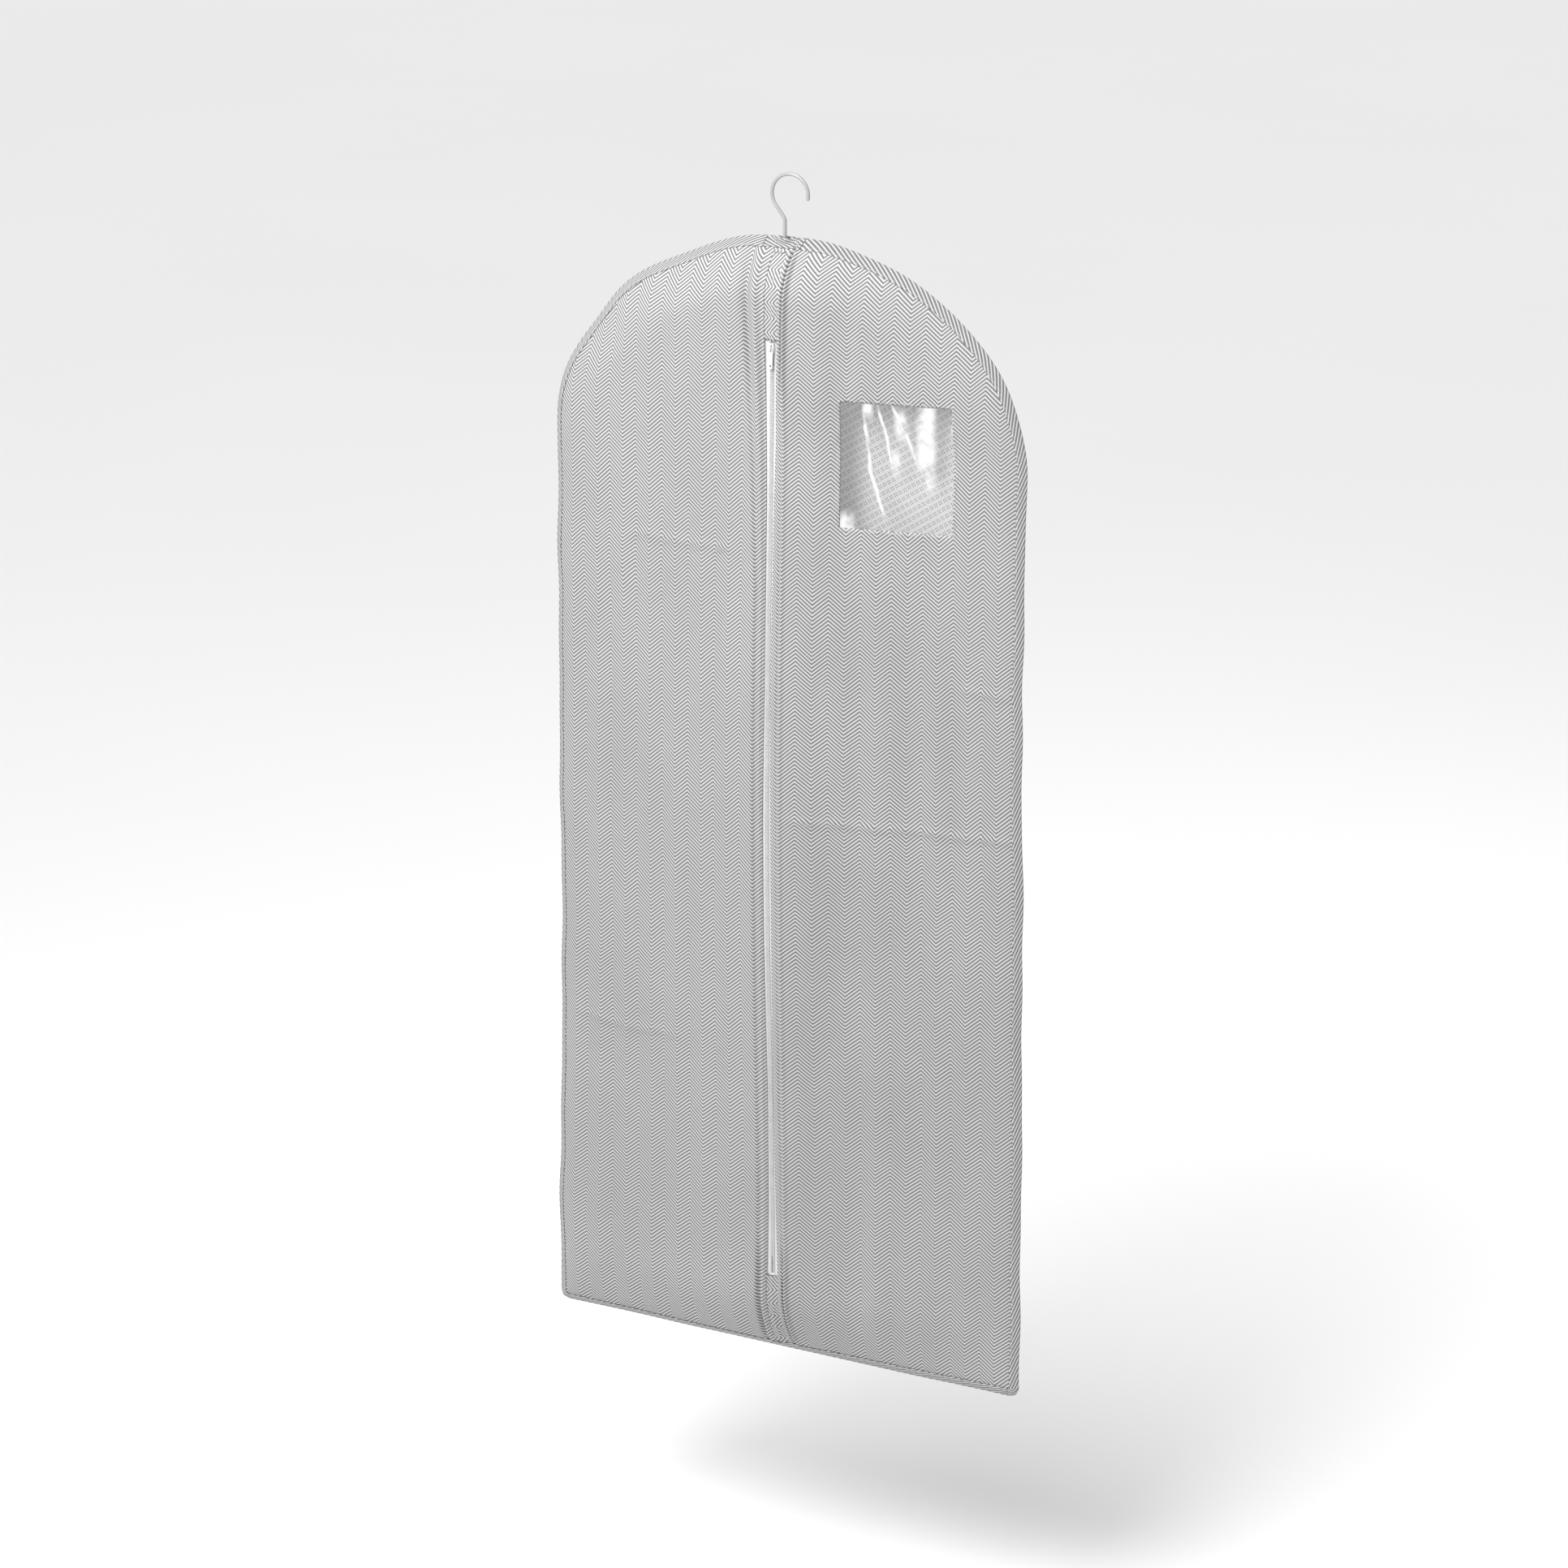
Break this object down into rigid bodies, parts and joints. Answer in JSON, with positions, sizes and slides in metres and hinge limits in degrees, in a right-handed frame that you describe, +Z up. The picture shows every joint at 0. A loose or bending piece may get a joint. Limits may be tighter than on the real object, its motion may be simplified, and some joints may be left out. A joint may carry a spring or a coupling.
{
  "type": "garment bag",
  "caption": "Full-length cloth garment bag with an arched top, centre zip, clear card window and bound edges, hanging on a shoulder hanger whose swivel hook passes through the top.",
  "frame": {"origin": "the point inside the hook that rests on a rail, above the stem's axis", "axes": "+Z up along the bag's height, -Y out of the front that carries the zip, +X across the bag to the right seen from the front"},
  "size_m": [0.603, 0.0567, 1.4427],
  "materials": {
    "printed_cloth": "matt woven",
    "binding_cloth": "matt woven",
    "clear_film": "glossy flexible film",
    "white_thread": "matt thread",
    "zip_tape": "matt woven",
    "zip_coil": "satin moulded",
    "slider_metal": "white enamel",
    "coated_wire": "satin coated",
    "rivet_steel": "brushed",
    "hanger_plastic": "satin moulded",
    "bush_plastic": "satin moulded",
    "bar_plastic": "satin moulded"
  },
  "bodies": {
    "hook": {"hook": "coated_wire", "hook_stop": "rivet_steel"},
    "bag": {"hanger_arms": "hanger_plastic", "hanger_bush": "bush_plastic", "trouser_bar": "bar_plastic", "back_panel": "printed_cloth", "front_left_panel": "printed_cloth", "front_right_panel": "printed_cloth", "top_tab": "printed_cloth", "bottom_tab": "printed_cloth", "edge_binding_left": "binding_cloth", "edge_binding_right": "binding_cloth", "hem_binding": "binding_cloth", "eye_front_lip": "printed_cloth", "eye_back_lip": "printed_cloth", "window_film": "clear_film", "window_stitching": "white_thread", "zip_tape_top_ends": "zip_tape", "zip_tape_bottom_ends": "zip_tape", "zip_coil_top_ends": "zip_coil", "zip_coil_bottom_ends": "zip_coil", "zip_top_stops": "slider_metal", "zip_bottom_stop": "slider_metal"},
    "left_lapel": {"left_lapel": "printed_cloth", "zip_tape_left": "zip_tape", "zip_coil_left": "zip_coil"},
    "right_lapel": {"right_lapel": "printed_cloth", "zip_tape_right": "zip_tape", "zip_coil_right": "zip_coil"},
    "slider": {"zip_slider": "slider_metal", "slider_bail": "slider_metal"},
    "pull": {"zip_pull": "slider_metal"}
  },
  "joints": [
    {"name": "hook_swivel", "type": "hinge", "parent": "hook", "child": "bag", "pos_m": [0, 0, -0.0928], "axis": [0, 0, 1], "continuous": true},
    {"name": "zip_slide", "type": "slide", "parent": "bag", "child": "slider", "axis": [0, 0, -1], "range_m": [0, 1.1268]},
    {"name": "left_fold", "type": "hinge", "parent": "bag", "child": "left_lapel", "pos_m": [-0.073, -0.034, 0], "axis": [0, 0, -1], "range_deg": [0, 125]},
    {"name": "right_fold", "type": "hinge", "parent": "bag", "child": "right_lapel", "pos_m": [0.073, -0.034, 0], "axis": [0, 0, 1], "range_deg": [0, 125]},
    {"name": "pull_swing", "type": "hinge", "parent": "slider", "child": "pull", "pos_m": [0, -0.0369, -0.18837], "axis": [-1, 0, 0], "range_deg": [0, 150]}
  ],
  "couplings": [
    {"joint": "left_fold", "follows": "zip_slide", "rad_per_m": 1.9362},
    {"joint": "right_fold", "follows": "zip_slide", "rad_per_m": 1.9362}
  ]
}
